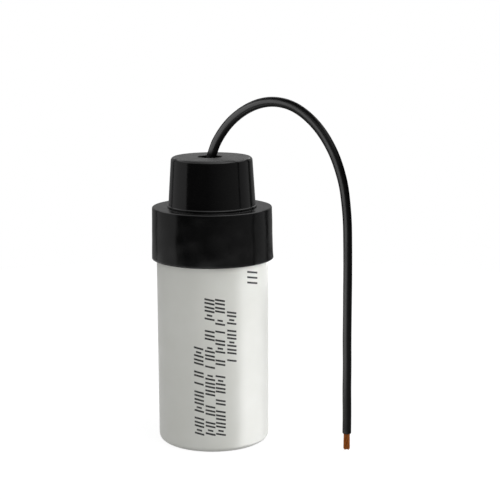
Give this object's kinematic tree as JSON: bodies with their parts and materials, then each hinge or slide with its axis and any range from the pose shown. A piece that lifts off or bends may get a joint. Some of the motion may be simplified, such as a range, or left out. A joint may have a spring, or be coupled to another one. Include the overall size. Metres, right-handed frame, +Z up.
{
  "type": "motor run capacitor",
  "caption": "Round plastic-can motor run capacitor with a black collar, a stepped terminal cover and a single insulated lead that ends in bare copper strands.",
  "frame": {"origin": "centre of the can's standing face", "axes": "+Z up along the can's axis, +X towards the side that the lead hangs on, -Y towards the viewer"},
  "size_m": [0.0631, 0.039, 0.1121],
  "materials": {
    "can_plastic": "moulded polypropylene, off-white, satin",
    "natural_plastic": "moulded polypropylene, uncoloured",
    "metallised_film": "tightly wound metallised film, silvery",
    "clear_film": "plain film wrap, pale amber",
    "sprayed_zinc": "rough sprayed zinc",
    "tinned_wire": "tinned copper wire",
    "solder": "tin solder, bright and smooth",
    "resin": "poured resin, dark amber",
    "deck_plastic": "moulded phenolic, brown",
    "tinned_brass": "tinned brass sheet",
    "soft_collar": "soft moulded black vinyl, slightly uneven gloss",
    "cover_plastic": "moulded black plastic, glossy",
    "lead_insulation": "black vinyl insulation, semi-gloss",
    "copper": "bare copper strands, slightly dull"
  },
  "bodies": {
    "root": {"can": "can_plastic", "winding_cradle": "natural_plastic", "winding": "metallised_film", "core_tube": "natural_plastic", "outer_wrap": "clear_film", "bottom_end_spray": "sprayed_zinc", "top_end_spray": "sprayed_zinc", "bottom_tail_wire": "tinned_wire", "top_tail_wire": "tinned_wire", "bottom_tail_solder": "solder", "top_tail_solder": "solder", "potting_resin": "resin", "terminal_deck": "deck_plastic", "lead_terminal": "tinned_brass", "second_terminal": "tinned_brass", "terminal_rivets": "tinned_brass", "fill_plug": "natural_plastic", "collar": "soft_collar", "terminal_cover": "cover_plastic", "lead": "lead_insulation", "lead_soldered_strands": "copper", "lead_solder": "solder", "lead_bare_strands": "copper"}
  },
  "joints": []
}
